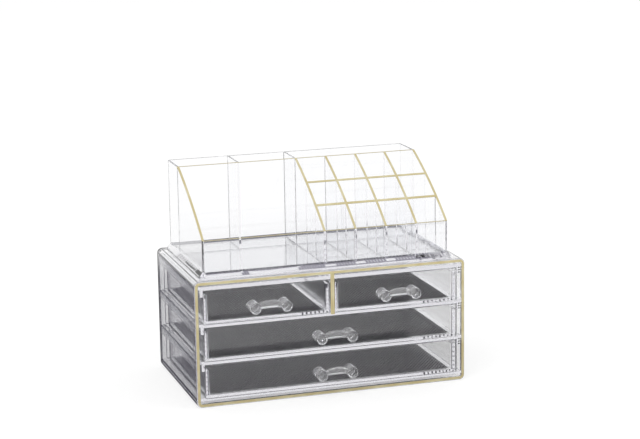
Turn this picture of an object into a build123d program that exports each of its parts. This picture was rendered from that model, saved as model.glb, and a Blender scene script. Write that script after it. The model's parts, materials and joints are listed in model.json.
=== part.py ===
"""Clear plastic makeup organiser: a case with four drawers and a lift-off top tray.

Millimetres. The origin is the centre of the case's underside, the drawers open
towards -Y, +X is to the right of someone facing them and +Z is up.
"""

import os

from build123d import *

# ---------------------------------------------------------------- case shell
case_width = 240.0
case_depth = 135.0
case_height = 108.5
case_wall = 3.0
case_back_wall = 2.5
case_corner_radius = 4.5
case_inner_radius = 1.5
case_front_bevel = 0.8
case_back_round = 1.6

# ---------------------------------------------------------------- drawer rack
rack_fit = 0.1            # all round, between the rack and the shell
rack_back_gap = 0.3       # to the shell's back wall
rack_side_margin = 4.3    # from the shell's inner wall to a drawer bay
rack_frame_depth = 4.0    # front and rear frame, along Y
plate_thickness = 2.4
row_margin = 6.25         # from the case's outside to the middle of its outer plates
row_count = 3
lip_height = 6.4          # guide lip under each plate
lip_thickness = 2.0
divider_thickness = 3.4

# ---------------------------------------------------------------- drawers
drawer_length = 124.0
drawer_wall = 2.0
drawer_floor = 2.0
drawer_side_drop = 3.8    # drawer sides below the top of the front
drawer_inner_radius = 2.0
front_recess = 0.5        # drawer front behind the case's front plane
front_thickness = 3.0
front_side_gap = 0.5      # drawer front to the bay, at each side
front_top_gap = 0.6       # drawer front to the plate above
slide_gap = 0.2           # drawer to the plate that it runs on
box_inset = 0.5           # drawer box inside the front's outline, at each side
front_border = 3.0        # raised frame round the front's sunk field
front_field_depth = 0.6
front_edge_round = 0.5

# ---------------------------------------------------------------- bow handles
knob_spacing = 27.0
knob_drop = 1.5           # knob centres below the middle of the drawer front
knob_reach = 13.0
knob_radius = 4.9
knob_wall = 1.3
knob_socket_depth = 6.0   # open hollow in each knob, from its face
strap_end_height = 3.2    # at the knob centres
strap_middle_height = 6.5
strap_drop = 1.7          # strap's lower corners below the knob centres
strap_underside_rise = 0.9
strap_thickness = 4.4
strap_setback = 1.4       # strap's front behind the knob faces
strap_chamfer = 1.1
pin_radius = 1.5
pin_clearance = 0.05

# ---------------------------------------------------------------- drawer liners
liner_thickness = 1.0
liner_margin = 1.5
liner_corner_radius = 2.5

# ---------------------------------------------------------------- top tray
tray_width = 218.0
tray_depth = 119.0
tray_wall = 2.0
tray_floor = 2.5
tray_corner_radius = 3.0
tray_inner_radius = 1.0
tray_back_height = 79.5
tray_front_height = 31.5
tray_rim_depth = 2.5      # level stretch of the top edge at the front, before the slope
tray_curve_bulge = 3.2    # the sloping edge's rise above a straight line
tray_setback = 3.0        # tray's centre behind the case's centre
foot_flare = 3.4          # foot rim outside the tray's walls
foot_rim_height = 0.8
foot_height = 5.0
slot_row_depth = 25.2     # pitch of the two front rows of slots
rear_row_depth = 34.4     # pitch of the row along the back
slot_columns = 4
middle_divider_x = -2.0
rear_divider_x = -54.0

# ---------------------------------------------------------------- gold edging
foil_thickness = 0.2

# ---------------------------------------------------------------- derived places
front_y = -case_depth / 2
mid_height = case_height / 2
inner_width = case_width - 2 * case_wall
inner_height = case_height - 2 * case_wall
rack_width = inner_width - 2 * rack_fit
rack_height = inner_height - 2 * rack_fit
rack_depth = case_depth - case_back_wall - rack_back_gap
row_pitch = (case_height - 2 * row_margin) / row_count
bay_side = inner_width / 2 - rack_side_margin
bay_height = row_pitch - plate_thickness
drawer_front_height = bay_height - slide_gap - front_top_gap
drawer_side_height = drawer_front_height - drawer_side_drop
drawer_face_y = front_y + front_recess
half_bay_width = bay_side - divider_thickness / 2
half_bay_x = (bay_side + divider_thickness / 2) / 2

front_plane = Plane.XZ.offset(case_depth / 2)

tray_base = case_height
tray_top = tray_base + tray_back_height
tray_front = tray_setback - tray_depth / 2
tray_back = tray_setback + tray_depth / 2
tray_right = tray_width / 2
slot_wall_ys = [
    tray_front + tray_wall / 2 + slot_row_depth,
    tray_front + tray_wall / 2 + 2 * slot_row_depth,
]
rear_wall_y = tray_back - tray_wall / 2 - rear_row_depth
column_pitch = (tray_right - tray_wall / 2 - middle_divider_x) / slot_columns


def plate_centre(index):
    """Height of a rack plate's middle plane, counted up from the floor plate."""
    return mid_height + (index - row_count / 2) * row_pitch


def row_floor(row):
    """Height of the surface that a row's drawers run on."""
    return plate_centre(row) + plate_thickness / 2


def export(part, label):
    """Name a finished piece and write its file."""
    part.label = label
    export_step(part, f"parts/{label}.step")


# ================================================================ case shell
def make_case_shell():
    """Outer shell: four walls with rounded corners, a closed back and an open front."""
    with BuildPart() as shell:
        with BuildSketch(front_plane):
            with Locations((0, mid_height)):
                RectangleRounded(case_width, case_height, case_corner_radius)
        extrude(amount=-case_depth)
        fillet(shell.faces().sort_by(Axis.Y)[-1].edges(), case_back_round)
        with BuildSketch(front_plane):
            with Locations((0, mid_height)):
                RectangleRounded(inner_width, inner_height, case_inner_radius)
        extrude(amount=-(case_depth - case_back_wall), mode=Mode.SUBTRACT)
        front_face = shell.faces().sort_by(Axis.Y)[0]
        chamfer(front_face.outer_wire().edges(), case_front_bevel)
    return shell.part


# ================================================================ drawer rack
def make_drawer_rack():
    """Inner rack: four plates joined by a front and a rear frame.

    Guide lips hang from the plates beside the bays, and the top row has a divider.
    """
    channel_depth = rack_depth - 2 * rack_frame_depth
    channel_width = inner_width / 2 - bay_side
    channel_x = bay_side + channel_width / 2
    edge_height = plate_centre(0) - plate_thickness / 2
    with BuildPart() as rack:
        with BuildSketch(front_plane):
            with Locations((0, mid_height)):
                RectangleRounded(rack_width, rack_height, case_inner_radius)
        extrude(amount=-rack_depth)
        with BuildSketch(front_plane):
            for row in range(row_count - 1):
                with Locations((0, row_floor(row) + bay_height / 2)):
                    Rectangle(2 * bay_side, bay_height)
            top_row_z = row_floor(row_count - 1) + bay_height / 2
            with Locations((-half_bay_x, top_row_z), (half_bay_x, top_row_z)):
                Rectangle(half_bay_width, bay_height)
        extrude(amount=-rack_depth, mode=Mode.SUBTRACT)
        with BuildSketch(front_plane.offset(-rack_frame_depth)):
            with Locations((0, edge_height / 2), (0, case_height - edge_height / 2)):
                Rectangle(inner_width, edge_height)
            for row in range(row_count):
                window_height = bay_height - lip_height
                window_z = row_floor(row) + window_height / 2
                lip_z = row_floor(row) + bay_height - lip_height / 2
                with Locations((-channel_x, window_z), (channel_x, window_z)):
                    Rectangle(channel_width, window_height)
                lip_back_x = channel_x + lip_thickness / 2
                with Locations((-lip_back_x, lip_z), (lip_back_x, lip_z)):
                    Rectangle(channel_width - lip_thickness, lip_height)
        extrude(amount=-channel_depth, mode=Mode.SUBTRACT)
    return rack.part


# ================================================================ gold on the case
def make_case_rim_gold():
    """Foil band on the shell's front edge, inside its bevel."""
    with BuildPart() as band:
        with BuildSketch(front_plane):
            with Locations((0, mid_height)):
                RectangleRounded(
                    case_width - 2 * case_front_bevel,
                    case_height - 2 * case_front_bevel,
                    case_corner_radius - case_front_bevel,
                )
                RectangleRounded(inner_width, inner_height, case_inner_radius, mode=Mode.SUBTRACT)
        extrude(amount=foil_thickness)
    return band.part


def make_divider_gold():
    """Foil strip on the front edge of the top row's divider, up to the rim's band."""
    strip_bottom = plate_centre(row_count - 1)
    strip_top = case_height - case_wall
    with BuildPart() as strip:
        with BuildSketch(front_plane):
            with Locations((0, (strip_bottom + strip_top - rack_fit) / 2)):
                Rectangle(divider_thickness, strip_top - rack_fit - strip_bottom)
        extrude(amount=foil_thickness)
    return strip.part


# ================================================================ drawers
class Bay:
    """One drawer's space in the rack, and the sizes that follow from it."""

    def __init__(self, name, row, centre_x, width):
        self.name = name
        self.centre_x = centre_x
        self.base = row_floor(row) + slide_gap
        self.front_width = width - 2 * front_side_gap
        self.box_width = self.front_width - 2 * box_inset
        self.box_front = drawer_face_y + front_thickness
        self.box_length = drawer_length - front_thickness
        self.box_centre_y = self.box_front + self.box_length / 2
        self.inner_width = self.box_width - 2 * drawer_wall
        self.inner_length = self.box_length - drawer_wall
        self.inner_centre_y = self.box_front + self.inner_length / 2
        self.floor_top = self.base + drawer_floor
        self.knob_z = self.base + drawer_front_height / 2 - knob_drop

    def knob_xs(self):
        """The two knob centres along X."""
        return (self.centre_x - knob_spacing / 2, self.centre_x + knob_spacing / 2)


bays = [
    Bay("top_left", 2, -half_bay_x, half_bay_width),
    Bay("top_right", 2, half_bay_x, half_bay_width),
    Bay("middle", 1, 0, 2 * bay_side),
    Bay("bottom", 0, 0, 2 * bay_side),
]


def make_drawer(bay):
    """Moulded drawer: open box, and a front with a raised frame and two pin holes."""
    panel_z = bay.base + drawer_front_height / 2
    face_plane = Plane.XZ.offset(-drawer_face_y)
    with BuildPart() as drawer:
        with BuildSketch(Plane.XY.offset(bay.base)):
            with Locations((bay.centre_x, bay.box_centre_y)):
                Rectangle(bay.box_width, bay.box_length)
        extrude(amount=drawer_side_height)
        rear_corners = drawer.edges().filter_by(Axis.Z).group_by(Axis.Y)[-1]
        fillet(rear_corners, drawer_inner_radius)
        with BuildSketch(face_plane):
            with Locations((bay.centre_x, panel_z)):
                Rectangle(bay.front_width, drawer_front_height)
        extrude(amount=-front_thickness)
        face_edges = drawer.faces().sort_by(Axis.Y)[0].edges()
        fillet(face_edges, front_edge_round)
        with BuildSketch(Plane.XY.offset(bay.floor_top)):
            with Locations((bay.centre_x, bay.inner_centre_y)):
                RectangleRounded(bay.inner_width, bay.inner_length, drawer_inner_radius)
        extrude(amount=drawer_side_height, mode=Mode.SUBTRACT)
        with BuildSketch(face_plane):
            with Locations((bay.centre_x, panel_z)):
                RectangleRounded(
                    bay.front_width - 2 * front_border,
                    drawer_front_height - 2 * front_border,
                    front_border / 2,
                )
        extrude(amount=-front_field_depth, mode=Mode.SUBTRACT)
        with BuildSketch(face_plane):
            with Locations(*[(x, bay.knob_z) for x in bay.knob_xs()]):
                Circle(pin_radius + pin_clearance)
        extrude(amount=-front_thickness, mode=Mode.SUBTRACT)
    return drawer.part


def make_liner(bay):
    """Thin mat that lies on the drawer's floor."""
    with BuildPart() as liner:
        with BuildSketch(Plane.XY.offset(bay.floor_top)):
            with Locations((bay.centre_x, bay.inner_centre_y)):
                RectangleRounded(
                    bay.inner_width - 2 * liner_margin,
                    bay.inner_length - 2 * liner_margin,
                    liner_corner_radius,
                )
        extrude(amount=liner_thickness)
    return liner.part


# ================================================================ bow handles
def make_handle(bay):
    """Bow handle: two hollow round knobs joined by a strap that swells to its middle, with two pins."""
    seat_plane = Plane.XZ.offset(-drawer_face_y - front_field_depth)
    knob_plane = Plane.XZ.offset(-drawer_face_y + knob_reach)
    strap_plane = knob_plane.offset(-strap_setback)
    left_x, right_x = bay.knob_xs()
    underside_end_z = bay.knob_z - strap_drop
    underside_middle_z = underside_end_z + strap_underside_rise
    top_end_z = underside_end_z + strap_end_height
    top_middle_z = underside_middle_z + strap_middle_height
    with BuildPart() as handle:
        with BuildSketch(strap_plane):
            with BuildLine():
                ThreePointArc(
                    (left_x, underside_end_z),
                    (bay.centre_x, underside_middle_z),
                    (right_x, underside_end_z),
                )
                Line((right_x, underside_end_z), (right_x, top_end_z))
                ThreePointArc((right_x, top_end_z), (bay.centre_x, top_middle_z), (left_x, top_end_z))
                Line((left_x, top_end_z), (left_x, underside_end_z))
            make_face()
        extrude(amount=-strap_thickness)
        long_edges = handle.edges().filter_by(lambda edge: edge.length > knob_spacing / 2)
        chamfer(long_edges, strap_chamfer)
        with BuildSketch(seat_plane):
            with Locations((left_x, bay.knob_z), (right_x, bay.knob_z)):
                Circle(knob_radius)
        extrude(amount=knob_reach + front_field_depth)
        with BuildSketch(knob_plane):
            with Locations((left_x, bay.knob_z), (right_x, bay.knob_z)):
                Circle(knob_radius - knob_wall)
        extrude(amount=-knob_socket_depth, mode=Mode.SUBTRACT)
        with BuildSketch(seat_plane):
            with Locations((left_x, bay.knob_z), (right_x, bay.knob_z)):
                Circle(pin_radius)
        extrude(amount=-(front_thickness - front_field_depth))
    return handle.part


# ================================================================ top tray
def draw_tray_outline(margin, radius, mode=Mode.ADD):
    """Plan of the tray's outline, widened by a margin all round."""
    with Locations((0, tray_setback)):
        RectangleRounded(tray_width + 2 * margin, tray_depth + 2 * margin, radius, mode=mode)


def draw_tray_walls():
    """Plan of the tray's outer walls, cross walls and dividers."""
    draw_tray_outline(0, tray_corner_radius)
    draw_tray_outline(-tray_wall, tray_inner_radius, mode=Mode.SUBTRACT)
    with Locations((0, rear_wall_y)):
        Rectangle(tray_width - tray_wall, tray_wall)
    with Locations((middle_divider_x, tray_setback)):
        Rectangle(tray_wall, tray_depth - tray_wall)
    with Locations((rear_divider_x, rear_wall_y + rear_row_depth / 2)):
        Rectangle(tray_wall, rear_row_depth)
    slots_width = slot_columns * column_pitch
    for wall_y in slot_wall_ys:
        with Locations((middle_divider_x + slots_width / 2, wall_y)):
            Rectangle(slots_width, tray_wall)
    column_run = rear_wall_y - tray_front - tray_wall / 2
    for column in range(1, slot_columns):
        column_x = middle_divider_x + column * column_pitch
        with Locations((column_x, rear_wall_y - column_run / 2)):
            Rectangle(tray_wall, column_run)


def draw_tray_edge(rise, back_y):
    """Side view of the tray's top edge: level row, curved slope, level front wall."""
    shoulder = (rear_wall_y - tray_wall / 2, tray_top + rise)
    foot = (tray_front + tray_rim_depth, tray_base + tray_front_height + rise)
    crown = ((shoulder[0] + foot[0]) / 2, (shoulder[1] + foot[1]) / 2 + tray_curve_bulge)
    Line((back_y, tray_top + rise), shoulder)
    ThreePointArc(shoulder, crown, foot)
    Line(foot, (tray_front - tray_wall, foot[1]))


def make_tray():
    """Moulded tray: walls and dividers cut by one curved surface, on a flared foot."""
    cut_front = tray_front - tray_wall
    cut_back = tray_back + tray_wall
    cut_top = tray_top + tray_wall
    with BuildPart() as tray:
        with BuildSketch(Plane.XY.offset(tray_base)):
            draw_tray_outline(foot_flare, tray_corner_radius + foot_flare)
        extrude(amount=foot_rim_height)
        with BuildSketch(Plane.XY.offset(tray_base + foot_rim_height)):
            draw_tray_outline(foot_flare, tray_corner_radius + foot_flare)
        with BuildSketch(Plane.XY.offset(tray_base + foot_height)):
            draw_tray_outline(0, tray_corner_radius)
        loft()
        with BuildSketch(Plane.XY.offset(tray_base + tray_floor)):
            draw_tray_outline(-tray_wall, tray_inner_radius)
        extrude(amount=foot_height, mode=Mode.SUBTRACT)
        with BuildSketch(Plane.XY.offset(tray_base)):
            draw_tray_walls()
        extrude(amount=tray_back_height)
        with BuildSketch(Plane.YZ):
            with BuildLine():
                draw_tray_edge(0, cut_back)
                Polyline(
                    (cut_front, tray_base + tray_front_height),
                    (cut_front, cut_top),
                    (cut_back, cut_top),
                    (cut_back, tray_top),
                )
            make_face()
        extrude(amount=tray_width, both=True, mode=Mode.SUBTRACT)
    return tray.part


def make_tray_gold():
    """Foil on the tray's sloping and front edges, as far back as the rear cross wall."""
    gold_back = rear_wall_y + tray_wall / 2
    gold_front = tray_front - tray_wall
    front_top = tray_base + tray_front_height
    with BuildPart() as gold:
        with BuildSketch(Plane.XY.offset(tray_base)):
            draw_tray_walls()
        extrude(amount=tray_back_height + foil_thickness)
        with BuildSketch(Plane.YZ):
            with BuildLine():
                draw_tray_edge(0, gold_back)
                draw_tray_edge(foil_thickness, gold_back)
                Line((gold_back, tray_top), (gold_back, tray_top + foil_thickness))
                Line((gold_front, front_top), (gold_front, front_top + foil_thickness))
            make_face()
        extrude(amount=tray_width, both=True, mode=Mode.INTERSECT)
    return gold.part


# ================================================================ all pieces
os.makedirs("parts", exist_ok=True)
export(make_case_shell(), "case_shell")
export(make_drawer_rack(), "drawer_rack")
export(make_case_rim_gold(), "case_rim_gold")
export(make_divider_gold(), "divider_gold")
for bay in bays:
    export(make_drawer(bay), f"drawer_{bay.name}")
    export(make_handle(bay), f"handle_{bay.name}")
    export(make_liner(bay), f"liner_{bay.name}")
export(make_tray(), "top_tray")
export(make_tray_gold(), "tray_edge_gold")
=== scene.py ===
"""Clear drawer organizer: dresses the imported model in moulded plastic, gold foil and mesh mats."""

import json
import math

import bmesh
import bpy
from mathutils import Matrix, Vector


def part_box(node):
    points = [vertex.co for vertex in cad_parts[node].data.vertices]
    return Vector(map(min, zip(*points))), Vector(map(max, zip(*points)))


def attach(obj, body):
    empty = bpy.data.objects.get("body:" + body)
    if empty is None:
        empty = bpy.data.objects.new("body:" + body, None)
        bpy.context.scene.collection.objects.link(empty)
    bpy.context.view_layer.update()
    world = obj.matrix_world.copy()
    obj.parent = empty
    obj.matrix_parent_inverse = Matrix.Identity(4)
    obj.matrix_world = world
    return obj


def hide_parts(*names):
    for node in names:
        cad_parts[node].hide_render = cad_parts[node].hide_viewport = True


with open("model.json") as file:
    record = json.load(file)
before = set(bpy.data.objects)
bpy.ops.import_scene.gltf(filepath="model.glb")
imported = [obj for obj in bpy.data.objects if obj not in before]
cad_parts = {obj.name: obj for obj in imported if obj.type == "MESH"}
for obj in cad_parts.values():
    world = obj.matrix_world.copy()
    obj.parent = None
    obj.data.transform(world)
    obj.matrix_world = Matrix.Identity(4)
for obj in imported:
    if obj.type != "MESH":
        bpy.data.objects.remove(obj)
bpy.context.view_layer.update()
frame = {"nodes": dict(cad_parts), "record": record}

bl_info = {
    "name": "Clear Drawer Organizer",
    "version": (1, 0, 0),
    "blender": (4, 5, 0),
    "location": "3D View > Sidebar > Organizer",
    "description": "Finishes a clear plastic organizer with gold edging and mesh mats",
    "category": "Object",
}

CASE_PIECES = ("case_shell", "drawer_rack")
BAYS = ("top_left", "top_right", "middle", "bottom")
ROWS = ("bottom", "middle", "top_left")

# Factor on each gold edge's foil colour: 1 keeps it, and the tray edge's 0.62 is painted shade that darkens
# the tray's foil because the light from above makes it bright
FOIL_PAINTED_SHADE = {"case_rim_gold": 1.0, "divider_gold": 1.0, "tray_edge_gold": 0.62}

# Waves that the mould leaves in each kind of clear piece, per metre
CASE_WAVES = 22.0
TRAY_WAVES = 26.0
DRAWER_WAVES = 30.0
HANDLE_WAVES = 60.0

# Walls mirror softly; the thick handles shine fully and are a little milky
WALL_SHINE = (0.6, 0.6, 0.62, 1)
HANDLE_SHINE = (1, 1, 1, 1)
HANDLE_CLEARNESS = 0.86

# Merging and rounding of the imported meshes
MERGE_DISTANCE = 2e-6
HAIRLINE = 2e-5
FLAT_ANGLE = math.radians(0.4)
ROUNDED_ANGLE = math.radians(28)
SHARP_ANGLE = math.radians(32)
ROUNDING_STEPS = 2
EASING_PASSES = 10

# Half strand of the net from its knot outwards: share of its length and thickness there
STRAND_RINGS = ((0.0, 1.5), (0.45, 0.85), (1.0, 1.0))
# Rise of a strand's edge and its sag between knots, as shares of the knot's height
STRAND_RISE = 0.3
STRAND_SAG = 0.1
KNOT_SIDES = 6

# The studio floor, and where mirrored paths see it turn from dim to white
FLOOR_RADIUS = 6.0
FLOOR_SIDES = 96
FLOOR_GAP = 0.0003
DIM_TABLE_EDGE = (0.42, 0.60)
CARD_FRONT_EDGE = (0.05, 0.09)
CARD_LEFT_EDGE = (-0.125, -0.105)

# The room, for mirrored paths: back wall by depth, then screen and soft box by height
BACK_WALL_EDGE = (-0.1, 0.4)
SCREEN_EDGE = (0.30, 0.42)
SOFT_BOX_EDGE = (0.58, 0.66)
SCREEN_COLOUR = (0.30, 0.29, 0.34, 1)

# Lamps: place, side of the square panel and power in watts
LAMPS = {
    "key_lamp": ((-0.9, -0.9, 1.5), 0.9, 9.0),
    "fill_lamp": ((1.1, -0.6, 1.1), 0.8, 4.0),
}
LAMP_AIM = (0, 0, 0.08)

CAMERA_PLACE = (-0.4884, -1.5752, 0.5020)
CAMERA_TURN = math.radians(17.6)
CAMERA_DIP = math.radians(12.44)
CAMERA_LEAN = math.radians(-0.85)
CAMERA_LENS = 109.05

# Longest path of light through and between the clear walls, in bounces
LIGHT_BOUNCES = 32


# ---------------------------------------------------------------- shader maths
class Value:
    """A number, colour or vector that a node gives; Python's operators add Math nodes to it."""

    def __init__(self, graph, socket):
        self.graph = graph
        self.socket = socket

    def maths(self, operation, *others):
        return self.graph.add("ShaderNodeMath", {"operation": operation}, *others)

    def __add__(self, other):
        return self.maths("ADD", self, other)

    def __mul__(self, other):
        return self.maths("MULTIPLY", self, other)

    __radd__ = __add__
    __rmul__ = __mul__

    def at_most(self, other):
        return self.maths("MINIMUM", self, other)

    def at_least(self, other):
        return self.maths("MAXIMUM", self, other)

    def between(self, low, high):
        """0 below low, 1 above high and an even rise between them."""
        settings = {"clamp": True, "interpolation_type": "SMOOTHSTEP"}
        return self.graph.add("ShaderNodeMapRange", settings, self, low, high, 0.0, 1.0)


class Graph:
    """The nodes of one material or of the world."""

    def __init__(self, tree):
        self.tree = tree
        tree.nodes.clear()

    def add(self, kind, settings=None, *values, output=0, **named):
        """Makes a node, sets it up, feeds its inputs by place or by name, and gives its output."""
        node = self.tree.nodes.new(kind)
        for key, setting in (settings or {}).items():
            setattr(node, key, setting)
        for place, value in enumerate(values):
            self.feed(node.inputs[place], value)
        for name, value in named.items():
            self.feed(node.inputs[name.replace("_", " ")], value)
        return Value(self, node.outputs[output]) if node.outputs else None

    def feed(self, socket, value):
        if isinstance(value, Value):
            self.tree.links.new(value.socket, socket)
        elif value is not None:
            socket.default_value = value

    def place(self):
        """Object coordinates, in metres in the model's own frame."""
        return self.add("ShaderNodeTexCoord", output="Object")

    def noise(self, place, scale, detail=2.0, roughness=0.5):
        """Soft noise from 0 to 1, at so many waves per metre."""
        return self.add(
            "ShaderNodeTexNoise", Vector=place, Scale=scale, Detail=detail, Roughness=roughness
        )

    def mix(self, factor, first, second):
        """A colour between two others. The node's colour inputs come seventh and eighth."""
        unused = [None] * 5
        return self.add("ShaderNodeMix", {"data_type": "RGBA"}, factor, *unused, first, second, output=2)

    def bump(self, height, distance, strength):
        """A normal that follows a height."""
        return self.add("ShaderNodeBump", Height=height, Distance=distance, Strength=strength)


def new_material(name):
    """An empty material and the graph of its nodes."""
    material = bpy.data.materials.new(name)
    material.use_nodes = True
    return material, Graph(material.node_tree)


def clear_plastic(name, tint, density, waves, clearness=1.0, shine=WALL_SHINE):
    """Moulded clear plastic: refracting, faintly wavy from the mould, lightly scuffed."""
    material, graph = new_material(name)
    place = graph.place()
    flow = graph.noise(place, scale=waves, detail=1.0)
    scuffs = graph.noise(place, scale=900.0, detail=3.0, roughness=0.7).between(0.62, 0.8)
    smears = graph.noise(place, scale=40.0).between(0.45, 0.75)
    roughness = 0.012 + 0.05 * scuffs * smears
    colour = graph.mix(graph.noise(place, scale=12.0), (0.985, 0.987, 0.995, 1), (1.0, 1.0, 1.0, 1))
    shader = graph.add(
        "ShaderNodeBsdfPrincipled",
        {"distribution": "GGX"},
        Base_Color=colour,
        Roughness=roughness,
        IOR=1.49,
        Specular_Tint=shine,
        Transmission_Weight=clearness,
        Normal=graph.bump(flow, distance=0.0004, strength=0.12),
    )
    depth = graph.add("ShaderNodeVolumeAbsorption", Color=tint, Density=density)
    graph.add("ShaderNodeOutputMaterial", Surface=shader, Volume=depth)
    return material


def gold_foil(name, painted_shade_factor):
    """Hot-stamped gold foil on an edge: soft metal shine, paler where the foil is thin."""
    material, graph = new_material(name)
    place = graph.place()
    patches = graph.noise(place, scale=60.0).between(0.35, 0.7)
    grain = graph.noise(place, scale=1500.0)
    shades = ((0.84, 0.72, 0.38), (0.96, 0.87, 0.55))
    # The foil's two colours are scaled by the painted shade factor, which darkens the tray's foil against the
    # bright light from above
    thick, thin = (tuple(part * painted_shade_factor for part in shade) + (1,) for shade in shades)
    colour = graph.mix(patches, thick, thin)
    shader = graph.add(
        "ShaderNodeBsdfPrincipled",
        Base_Color=colour,
        Metallic=0.35,
        Roughness=0.38 + 0.14 * patches + 0.08 * grain,
        Normal=graph.bump(grain, distance=0.0001, strength=0.15),
    )
    graph.add("ShaderNodeOutputMaterial", Surface=shader)
    return material


def mesh_plastic(name):
    """Dark matt plastic of the mats' mesh."""
    material, graph = new_material(name)
    place = graph.place()
    lint = graph.noise(place, scale=700.0, detail=3.0).between(0.5, 0.8)
    shade = graph.noise(place, scale=25.0)
    dark = graph.mix(shade, (0.030, 0.027, 0.033, 1), (0.052, 0.047, 0.056, 1))
    colour = graph.mix(lint * 0.35, dark, (0.13, 0.12, 0.135, 1))
    shader = graph.add(
        "ShaderNodeBsdfPrincipled",
        Base_Color=colour,
        Roughness=0.5 + 0.25 * lint,
        Normal=graph.bump(lint, distance=0.0001, strength=0.4),
    )
    graph.add("ShaderNodeOutputMaterial", Surface=shader)
    return material


# ---------------------------------------------------------------- mesh helpers
def body_of_node(node):
    """Name of the moving body that a node belongs to."""
    for body, members in frame["record"]["behaviour"]["bodies"].items():
        if node in members:
            return body
    raise RuntimeError(f"no body holds {node}")


def hairline(mesh, gap):
    """Draws every wall in by a hair, so that no two pieces share a surface."""
    mesh.normal_update()
    moves = [vertex.normal * gap * vertex.calc_shell_factor() for vertex in mesh.verts]
    for vertex, move in zip(mesh.verts, moves):
        vertex.co -= move


def merged_mesh(node):
    """A node's mesh with its corners merged, drawn in by a hair."""
    mesh = bmesh.new()
    mesh.from_mesh(frame["nodes"][node].data)
    bmesh.ops.remove_doubles(mesh, verts=mesh.verts, dist=MERGE_DISTANCE)
    hairline(mesh, HAIRLINE)
    return mesh


def new_piece(name, mesh):
    """An object in the scene that takes over a mesh under work."""
    data = bpy.data.meshes.new(name)
    mesh.to_mesh(data)
    mesh.free()
    piece = bpy.data.objects.new(name, data)
    bpy.context.scene.collection.objects.link(piece)
    return piece


def settle(piece):
    """Turns a piece's modifiers into its own plain mesh."""
    plain = bpy.data.meshes.new_from_object(piece.evaluated_get(bpy.context.evaluated_depsgraph_get()))
    piece.modifiers.clear()
    piece.data = plain
    plain.name = piece.name
    return plain


def stand_for(piece, node, material):
    """Gives a piece its material and the place of a node."""
    piece.data.materials.clear()
    piece.data.materials.append(material)
    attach(piece, body_of_node(node))
    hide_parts(node)


def polished_copy(node, edge_radius, material):
    """A copy of a node with its sharp edges rounded, which stands for the node."""
    mesh = merged_mesh(node)
    bmesh.ops.dissolve_limit(
        mesh, angle_limit=FLAT_ANGLE, verts=mesh.verts, edges=mesh.edges, use_dissolve_boundaries=False
    )
    piece = new_piece(f"{node}_polished", mesh)
    piece.data.shade_smooth()
    piece.data.set_sharp_from_angle(angle=SHARP_ANGLE)
    rounding = piece.modifiers.new("rounding", "BEVEL")
    rounding.width = edge_radius
    rounding.segments = ROUNDING_STEPS
    rounding.limit_method = "ANGLE"
    rounding.angle_limit = ROUNDED_ANGLE
    rounding.use_clamp_overlap = True
    rounding.miter_outer = "MITER_SHARP"
    flats = piece.modifiers.new("level flats", "WEIGHTED_NORMAL")
    flats.mode = "FACE_AREA"
    flats.weight = 100
    settle(piece)
    stand_for(piece, node, material)


def moulded_copy(node, grain, material):
    """A copy of a node with every edge and corner run soft, which stands for the node."""
    piece = new_piece(f"{node}_moulded", merged_mesh(node))
    skin = piece.modifiers.new("skin", "REMESH")
    skin.mode = "VOXEL"
    skin.voxel_size = grain
    ease = piece.modifiers.new("ease", "SMOOTH")
    ease.factor = 0.5
    ease.iterations = EASING_PASSES
    settle(piece).shade_smooth()
    stand_for(piece, node, material)


def finish_node(node, material):
    """Gives a node that keeps its own mesh its material."""
    source = frame["nodes"][node]
    for place in source.material_slots:
        place.material = material
    if not source.material_slots:
        source.data.materials.append(material)


# ---------------------------------------------------------------- net and ribs
def knot_mesh(reach_x, reach_y, strand, height):
    """One knot of the net with its four half strands, a few dozen faces."""
    mesh = bmesh.new()
    lift = Vector((0, 0, height * STRAND_RISE))
    for sign_x, sign_y in ((1, 1), (-1, 1), (1, -1), (-1, -1)):
        end = Vector((sign_x * reach_x, sign_y * reach_y, 0.0))
        side = Vector((-end.y, end.x, 0)).normalized() * strand / 2
        rings = []
        for share, fat in STRAND_RINGS:
            centre = end * share - Vector((0, 0, height * STRAND_SAG * math.sin(share * math.pi)))
            corners = (centre + side * fat, centre + lift * fat, centre - side * fat, centre - lift * fat)
            rings.append([mesh.verts.new(corner) for corner in corners])
        for near, far in zip(rings, rings[1:]):
            for corner in range(4):
                after = (corner + 1) % 4
                mesh.faces.new((near[corner], near[after], far[after], far[corner]))
        mesh.faces.new(rings[-1])
    top = mesh.verts.new((0, 0, height / 2))
    foot = mesh.verts.new((0, 0, -height / 2))
    turns = [math.tau * step / KNOT_SIDES for step in range(KNOT_SIDES)]
    waist = [mesh.verts.new((math.cos(turn) * strand, math.sin(turn) * strand, 0)) for turn in turns]
    for place, corner in enumerate(waist):
        after = waist[(place + 1) % KNOT_SIDES]
        mesh.faces.new((corner, after, top))
        mesh.faces.new((after, corner, foot))
    bmesh.ops.recalc_face_normals(mesh, faces=mesh.faces)
    data = bpy.data.meshes.new("mat_knot")
    mesh.to_mesh(data)
    mesh.free()
    return data


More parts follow.
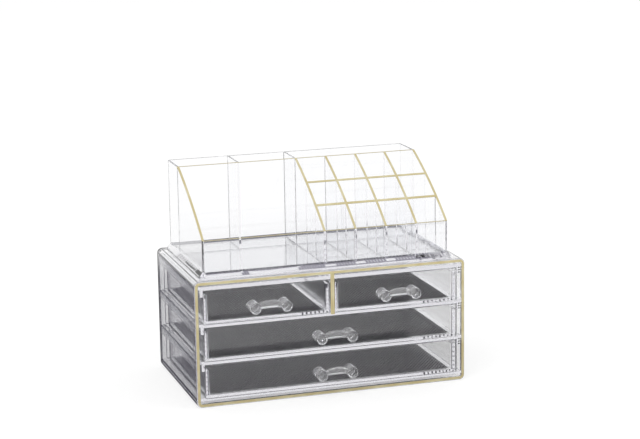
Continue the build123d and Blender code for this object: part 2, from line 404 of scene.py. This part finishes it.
def pattern_tree(unit, material):
    """Geometry Nodes: a block of equal pieces in columns, rows and levels about a centre."""
    tree = bpy.data.node_groups.new("piece_pattern", "GeometryNodeTree")
    tree.interface.new_socket("Geometry", in_out="INPUT", socket_type="NodeSocketGeometry")
    for name in ("Columns", "Rows", "Levels"):
        tree.interface.new_socket(name, in_out="INPUT", socket_type="NodeSocketInt")
    for name in ("Pitch X", "Pitch Y", "Pitch Z"):
        tree.interface.new_socket(name, in_out="INPUT", socket_type="NodeSocketFloat")
    tree.interface.new_socket("Centre", in_out="INPUT", socket_type="NodeSocketVector")
    tree.interface.new_socket("Geometry", in_out="OUTPUT", socket_type="NodeSocketGeometry")
    nodes, links = tree.nodes, tree.links
    entry = nodes.new("NodeGroupInput")
    leave = nodes.new("NodeGroupOutput")

    def maths(operation, first, second):
        node = nodes.new("ShaderNodeMath")
        node.operation = operation
        for place, value in enumerate((first, second)):
            if isinstance(value, bpy.types.NodeSocket):
                links.new(value, node.inputs[place])
            else:
                node.inputs[place].default_value = value
        return node.outputs[0]

    def span(count, pitch):
        """Length that a row of points one pitch apart covers."""
        return maths("MULTIPLY", maths("SUBTRACT", entry.outputs[count], 1.0), entry.outputs[pitch])

    grid = nodes.new("GeometryNodeMeshGrid")
    links.new(entry.outputs["Columns"], grid.inputs["Vertices X"])
    links.new(entry.outputs["Rows"], grid.inputs["Vertices Y"])
    links.new(span("Columns", "Pitch X"), grid.inputs["Size X"])
    links.new(span("Rows", "Pitch Y"), grid.inputs["Size Y"])
    stack = nodes.new("GeometryNodeMeshLine")
    links.new(entry.outputs["Levels"], stack.inputs["Count"])
    start = maths("MULTIPLY", span("Levels", "Pitch Z"), -0.5)
    for name, height in (("Start Location", start), ("Offset", entry.outputs["Pitch Z"])):
        upright = nodes.new("ShaderNodeCombineXYZ")
        links.new(height, upright.inputs["Z"])
        links.new(upright.outputs[0], stack.inputs[name])
    source = nodes.new("GeometryNodeObjectInfo")
    source.inputs["Object"].default_value = unit
    column = nodes.new("GeometryNodeInstanceOnPoints")
    links.new(stack.outputs["Mesh"], column.inputs["Points"])
    links.new(source.outputs["Geometry"], column.inputs["Instance"])
    block = nodes.new("GeometryNodeInstanceOnPoints")
    links.new(grid.outputs["Mesh"], block.inputs["Points"])
    links.new(column.outputs["Instances"], block.inputs["Instance"])
    shift = nodes.new("GeometryNodeTransform")
    links.new(block.outputs["Instances"], shift.inputs["Geometry"])
    links.new(entry.outputs["Centre"], shift.inputs["Translation"])
    whole = nodes.new("GeometryNodeRealizeInstances")
    links.new(shift.outputs["Geometry"], whole.inputs["Geometry"])
    paint = nodes.new("GeometryNodeSetMaterial")
    paint.inputs["Material"].default_value = material
    links.new(whole.outputs["Geometry"], paint.inputs["Geometry"])
    links.new(paint.outputs["Geometry"], leave.inputs["Geometry"])
    return tree


def lay_pattern(name, tree, counts, pitches, centre, body):
    """One piece made of a block of equal parts, as a plain mesh that rides a body."""
    carrier = bpy.data.objects.new(name, bpy.data.meshes.new(name))
    bpy.context.scene.collection.objects.link(carrier)
    pattern = carrier.modifiers.new("pattern", "NODES")
    pattern.node_group = tree
    sockets = {item.name: item.identifier for item in tree.interface.items_tree if item.in_out == "INPUT"}
    for label, count in zip(("Columns", "Rows", "Levels"), counts):
        pattern[sockets[label]] = count
    for label, pitch in zip(("Pitch X", "Pitch Y", "Pitch Z"), pitches):
        pattern[sockets[label]] = pitch
    pattern[sockets["Centre"]] = centre
    carrier.update_tag()
    if not settle(carrier).polygons:
        raise RuntimeError(f"{name} came out empty")
    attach(carrier, body)
    return carrier


def lay_mat(bay, tree, options):
    """One mat of net on a drawer's floor, in the space of its plain solid."""
    low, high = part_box(f"liner_{bay}")
    size = high - low
    counts = (int(size.x / options.pitch_across), int(size.y / options.pitch_along), 1)
    pitches = (options.pitch_across, options.pitch_along, 0.0)
    body = body_of_node(f"liner_{bay}")
    mat = lay_pattern(f"mesh_mat_{bay}", tree, counts, pitches, (low + high) / 2, body)
    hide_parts(f"liner_{bay}")


def rib_set(options):
    """The ribs of one channel beside a drawer bay, centred on the channel."""
    mesh = bmesh.new()
    shape = Matrix.Diagonal((options.rib_reach, options.rib_length, options.rib_thickness, 1))
    for place in range(options.rib_count):
        level = (place - (options.rib_count - 1) / 2) * options.rib_pitch
        bmesh.ops.create_cube(mesh, size=1.0, matrix=Matrix.Translation((0, 0, level)) @ shape)
    data = bpy.data.meshes.new("channel_ribs")
    mesh.to_mesh(data)
    mesh.free()
    return data


def lay_ribs(options, material):
    """The ribs of all channels: both sides of the case, beside the top of each row of drawers."""
    unit = bpy.data.objects.new("channel_ribs", rib_set(options))
    tops = [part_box(f"drawer_{bay}")[1].z for bay in ROWS]
    low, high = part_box("drawer_rack")
    centre = (0.0, (low.y + high.y) / 2, sum(tops) / len(tops) - options.lip_drop)
    pitches = (2 * options.channel_side, 0.0, tops[1] - tops[0])
    tree = pattern_tree(unit, material)
    lay_pattern("side_ribs", tree, (2, 1, len(tops)), pitches, centre, "case")
    bpy.data.objects.remove(unit)


# ---------------------------------------------------------------- settings
class OrganizerPlastic(bpy.types.PropertyGroup):
    """The clear plastic and how its edges are rounded"""

    tint: bpy.props.FloatVectorProperty(
        name="Tint", description="Colour that long paths through the plastic take on",
        subtype="COLOR", size=4, default=(0.52, 0.50, 0.60, 1.0), min=0, max=1,
    )
    density: bpy.props.FloatProperty(
        name="Depth", description="How fast the plastic darkens with its thickness, per metre",
        default=2.8, min=0,
    )
    edge_radius: bpy.props.FloatProperty(
        name="Edge radius", description="Rounding of the moulded edges", default=0.0003, min=0, unit="LENGTH",
    )
    mould_grain: bpy.props.FloatProperty(
        name="Mould grain", description="Size of the smallest detail that the handles keep",
        default=0.00025, min=0.0001, unit="LENGTH",
    )


class OrganizerMats(bpy.types.PropertyGroup):
    """The net of the mats"""

    pitch_across: bpy.props.FloatProperty(
        name="Pitch across", description="Width of one diamond of the net", default=0.0031, min=0.002,
        unit="LENGTH",
    )
    pitch_along: bpy.props.FloatProperty(
        name="Pitch along", description="Depth of one diamond of the net", default=0.0042, min=0.002,
        unit="LENGTH",
    )
    strand: bpy.props.FloatProperty(
        name="Strand", description="Thickness of the net's strands", default=0.0008, min=0.0001,
        unit="LENGTH",
    )
    knot_height: bpy.props.FloatProperty(
        name="Knot height", description="Height of the net's knots", default=0.00095, min=0.0001,
        unit="LENGTH",
    )


class OrganizerRibs(bpy.types.PropertyGroup):
    """The thin ribs at the case's sides, beside each row's guide lips"""

    rib_count: bpy.props.IntProperty(
        name="Ribs", description="Ribs in each channel between the rack's lips and the shell",
        default=3, min=1,
    )
    rib_pitch: bpy.props.FloatProperty(
        name="Pitch", description="Height from one rib to the next", default=0.0021, min=0.001, unit="LENGTH",
    )
    rib_thickness: bpy.props.FloatProperty(
        name="Thickness", description="Height of one rib", default=0.0008, min=0.0002, unit="LENGTH",
    )
    rib_reach: bpy.props.FloatProperty(
        name="Reach", description="Width of the ribs across the channel", default=0.0020, min=0.001,
        unit="LENGTH",
    )
    rib_length: bpy.props.FloatProperty(
        name="Length", description="Length of the ribs along the channel", default=0.1225, min=0.01,
        unit="LENGTH",
    )
    channel_side: bpy.props.FloatProperty(
        name="Channel side", description="Channel's middle, out from the middle of the case",
        default=0.1158, min=0.05, unit="LENGTH",
    )
    lip_drop: bpy.props.FloatProperty(
        name="Lip drop", description="Middle of a lip below the top of the drawer front beside it",
        default=0.0026, min=0, unit="LENGTH",
    )


class OrganizerStudio(bpy.types.PropertyGroup):
    """The white studio"""

    backdrop: bpy.props.FloatVectorProperty(
        name="Backdrop", description="Colour of the floor and of the wall behind",
        subtype="COLOR", size=4, default=(1.0, 1.0, 1.0, 1.0), min=0, max=1,
    )
    surroundings: bpy.props.FloatVectorProperty(
        name="Surroundings",
        description="Colour that the plastic and the gold mirror from the studio's front",
        subtype="COLOR", size=4, default=(0.11, 0.105, 0.13, 1.0), min=0, max=1,
    )
    floor_shade: bpy.props.FloatProperty(
        name="Floor shade", description="Share of the floor's colour that shadows can darken",
        default=0.3, min=0, max=1, subtype="FACTOR",
    )


# ---------------------------------------------------------------- operators
class ORGANIZER_OT_case(bpy.types.Operator):
    """Finishes the case shell and the rack that carries the drawers"""

    bl_idname = "organizer.case"
    bl_label = "Case and Rack"

    def execute(self, context):
        options = context.scene.organizer_plastic
        plastic = clear_plastic("case plastic", options.tint, options.density, CASE_WAVES)
        for node in CASE_PIECES:
            polished_copy(node, options.edge_radius, plastic)
        lay_ribs(context.scene.organizer_ribs, plastic)
        return {"FINISHED"}


class ORGANIZER_OT_drawers(bpy.types.Operator):
    """Finishes the four drawers"""

    bl_idname = "organizer.drawers"
    bl_label = "Drawers"

    def execute(self, context):
        options = context.scene.organizer_plastic
        plastic = clear_plastic("drawer plastic", options.tint, options.density, DRAWER_WAVES)
        for bay in BAYS:
            polished_copy(f"drawer_{bay}", options.edge_radius, plastic)
        return {"FINISHED"}


class ORGANIZER_OT_handles(bpy.types.Operator):
    """Finishes the four bow handles"""

    bl_idname = "organizer.handles"
    bl_label = "Bow Handles"

    def execute(self, context):
        options = context.scene.organizer_plastic
        plastic = clear_plastic(
            "handle plastic", options.tint, options.density, HANDLE_WAVES, HANDLE_CLEARNESS, HANDLE_SHINE
        )
        for bay in BAYS:
            moulded_copy(f"handle_{bay}", options.mould_grain, plastic)
        return {"FINISHED"}


class ORGANIZER_OT_tray(bpy.types.Operator):
    """Finishes the lift-off tray"""

    bl_idname = "organizer.tray"
    bl_label = "Top Tray"

    def execute(self, context):
        options = context.scene.organizer_plastic
        plastic = clear_plastic("tray plastic", options.tint, options.density, TRAY_WAVES)
        polished_copy("top_tray", options.edge_radius, plastic)
        return {"FINISHED"}


class ORGANIZER_OT_gold(bpy.types.Operator):
    """Finishes the gold edging of the case and the tray"""

    bl_idname = "organizer.gold"
    bl_label = "Gold Edging"

    def execute(self, context):
        for node, painted_shade_factor in FOIL_PAINTED_SHADE.items():
            finish_node(node, gold_foil(f"{node} foil", painted_shade_factor))
        return {"FINISHED"}


class ORGANIZER_OT_mats(bpy.types.Operator):
    """Lays the dark mesh mats in the drawers"""

    bl_idname = "organizer.mats"
    bl_label = "Mesh Mats"

    def execute(self, context):
        options = context.scene.organizer_mats
        material = mesh_plastic("mat mesh")
        reach_x, reach_y = options.pitch_across / 2, options.pitch_along / 2
        knot = bpy.data.objects.new(
            "mat_knot", knot_mesh(reach_x, reach_y, options.strand, options.knot_height)
        )
        tree = pattern_tree(knot, material)
        for bay in BAYS:
            lay_mat(bay, tree, options)
        bpy.data.objects.remove(knot)
        return {"FINISHED"}


class ORGANIZER_OT_stage(bpy.types.Operator):
    """Sets up the white studio, its light and the camera"""

    bl_idname = "organizer.stage"
    bl_label = "Studio"

    def execute(self, context):
        options = context.scene.organizer_studio
        build_floor(options)
        build_world(options)
        build_lamps()
        build_camera()
        context.scene.view_settings.view_transform = "Standard"
        cycles = context.scene.cycles
        cycles.use_denoising = True
        cycles.max_bounces = LIGHT_BOUNCES
        cycles.transmission_bounces = LIGHT_BOUNCES
        cycles.glossy_bounces = LIGHT_BOUNCES
        return {"FINISHED"}


class ORGANIZER_PT_panel(bpy.types.Panel):
    """Every setting and one button for each group of pieces"""

    bl_label = "Organizer"
    bl_idname = "ORGANIZER_PT_panel"
    bl_space_type = "VIEW_3D"
    bl_region_type = "UI"
    bl_category = "Organizer"

    def draw(self, context):
        scene = context.scene
        for group in (
            scene.organizer_plastic, scene.organizer_ribs, scene.organizer_mats, scene.organizer_studio
        ):
            box = self.layout.box()
            for name in group.__annotations__:
                box.prop(group, name)
        for operator in OPERATORS:
            self.layout.operator(operator.bl_idname)


# ---------------------------------------------------------------- studio
def shown_background(graph):
    """1 for the rays that see the backdrop: the camera's, mirrored ones and those through plastic."""
    seen = graph.add("ShaderNodeLightPath", output="Is Camera Ray")
    for ray in ("Is Glossy Ray", "Is Transmission Ray"):
        seen = seen.at_least(graph.add("ShaderNodeLightPath", output=ray))
    return seen


def mirrored(graph):
    """1 for a path that something has mirrored on its way, 0 for one that goes straight on."""
    return graph.add("ShaderNodeLightPath", output="Glossy Depth").at_most(1.0)


def build_floor(options):
    """White floor that keeps the shadow; mirrored paths see it dim, but for a white card behind."""
    mesh = bmesh.new()
    bmesh.ops.create_circle(mesh, cap_ends=True, radius=FLOOR_RADIUS, segments=FLOOR_SIDES)
    bmesh.ops.translate(mesh, verts=mesh.verts, vec=(0, 0, -FLOOR_GAP))
    floor = new_piece("studio_floor", mesh)
    material, graph = new_material("studio floor")
    backdrop = tuple(options.backdrop)
    shaded = tuple(part * options.floor_shade for part in backdrop[:3]) + (1,)
    matt = graph.add("ShaderNodeBsdfDiffuse", Color=shaded)
    strength = (1 - options.floor_shade) * shown_background(graph)
    glow = graph.add("ShaderNodeEmission", Color=backdrop, Strength=strength)
    seen = graph.add("ShaderNodeAddShader", None, matt, glow)
    place = graph.place()
    reach = graph.add("ShaderNodeVectorMath", {"operation": "LENGTH"}, place, output=1)
    across = graph.add("ShaderNodeSeparateXYZ", None, place, output=0)
    behind = graph.add("ShaderNodeSeparateXYZ", None, place, output=1)
    card = behind.between(*CARD_FRONT_EDGE) * across.between(*CARD_LEFT_EDGE)
    white = reach.between(*DIM_TABLE_EDGE).at_least(card)
    table = graph.mix(white, tuple(options.surroundings), backdrop)
    reflected = graph.add("ShaderNodeEmission", Color=table, Strength=1.0)
    surface = graph.add("ShaderNodeMixShader", None, mirrored(graph), seen, reflected)
    graph.add("ShaderNodeOutputMaterial", Surface=surface)
    floor.data.materials.append(material)


def build_world(options):
    """White straight on; mirrored, a white wall at the back, dim at the front and a soft box above."""
    world = bpy.data.worlds.new("studio")
    bpy.context.scene.world = world
    world.use_nodes = True
    graph = Graph(world.node_tree)
    direction = graph.add("ShaderNodeTexCoord", output="Generated")
    behind = graph.add("ShaderNodeSeparateXYZ", None, direction, output=1)
    height = graph.add("ShaderNodeSeparateXYZ", None, direction, output=2)
    backdrop = tuple(options.backdrop)
    low = graph.mix(behind.between(*BACK_WALL_EDGE), tuple(options.surroundings), backdrop)
    screened = graph.mix(height.between(*SCREEN_EDGE), low, SCREEN_COLOUR)
    studio = graph.mix(height.between(*SOFT_BOX_EDGE), screened, backdrop)
    colour = graph.mix(mirrored(graph), backdrop, studio)
    back = graph.add("ShaderNodeBackground", Color=colour, Strength=1.0)
    graph.add("ShaderNodeOutputWorld", Surface=back)


def build_lamps():
    """Two square panels above the front, aimed at the middle of the case."""
    for name, (place, size, power) in LAMPS.items():
        light = bpy.data.lights.new(name, "AREA")
        light.shape = "RECTANGLE"
        light.size = light.size_y = size
        light.energy = power
        lamp = bpy.data.objects.new(name, light)
        lamp.location = place
        aim = Vector(LAMP_AIM) - Vector(place)
        lamp.rotation_mode = "QUATERNION"
        lamp.rotation_quaternion = aim.to_track_quat("-Z", "Y")
        bpy.context.scene.collection.objects.link(lamp)


def build_camera():
    """Camera at the measured place, with a long lens."""
    along = math.cos(CAMERA_DIP)
    ahead = Vector((math.sin(CAMERA_TURN) * along, math.cos(CAMERA_TURN) * along, -math.sin(CAMERA_DIP)))
    level = Vector((math.cos(CAMERA_TURN), -math.sin(CAMERA_TURN), 0))
    over = level.cross(ahead)
    right = math.cos(CAMERA_LEAN) * level + math.sin(CAMERA_LEAN) * over
    up = right.cross(ahead)
    lens = bpy.data.cameras.new("camera")
    lens.sensor_fit = "HORIZONTAL"
    lens.sensor_width = 36.0
    lens.lens = CAMERA_LENS
    lens.clip_start = 0.05
    lens.clip_end = 50.0
    camera = bpy.data.objects.new("camera", lens)
    facing = Matrix((right, up, -ahead)).transposed().to_4x4()
    camera.matrix_world = Matrix.Translation(CAMERA_PLACE) @ facing
    bpy.context.scene.collection.objects.link(camera)
    bpy.context.scene.camera = camera


# ---------------------------------------------------------------- registering
GROUPS = (OrganizerPlastic, OrganizerRibs, OrganizerMats, OrganizerStudio)
OPERATORS = (
    ORGANIZER_OT_case,
    ORGANIZER_OT_drawers,
    ORGANIZER_OT_handles,
    ORGANIZER_OT_tray,
    ORGANIZER_OT_gold,
    ORGANIZER_OT_mats,
    ORGANIZER_OT_stage,
)


def register():
    for item in GROUPS + OPERATORS + (ORGANIZER_PT_panel,):
        bpy.utils.register_class(item)
    bpy.types.Scene.organizer_plastic = bpy.props.PointerProperty(type=OrganizerPlastic)
    bpy.types.Scene.organizer_ribs = bpy.props.PointerProperty(type=OrganizerRibs)
    bpy.types.Scene.organizer_mats = bpy.props.PointerProperty(type=OrganizerMats)
    bpy.types.Scene.organizer_studio = bpy.props.PointerProperty(type=OrganizerStudio)


def unregister():
    del bpy.types.Scene.organizer_studio
    del bpy.types.Scene.organizer_mats
    del bpy.types.Scene.organizer_ribs
    del bpy.types.Scene.organizer_plastic
    for item in reversed(GROUPS + OPERATORS + (ORGANIZER_PT_panel,)):
        bpy.utils.unregister_class(item)


def main():
    """Builds the whole scene."""
    register()
    bpy.ops.organizer.case()
    bpy.ops.organizer.drawers()
    bpy.ops.organizer.handles()
    bpy.ops.organizer.tray()
    bpy.ops.organizer.gold()
    bpy.ops.organizer.mats()
    bpy.ops.organizer.stage()


if __name__ == "__main__":
    main()
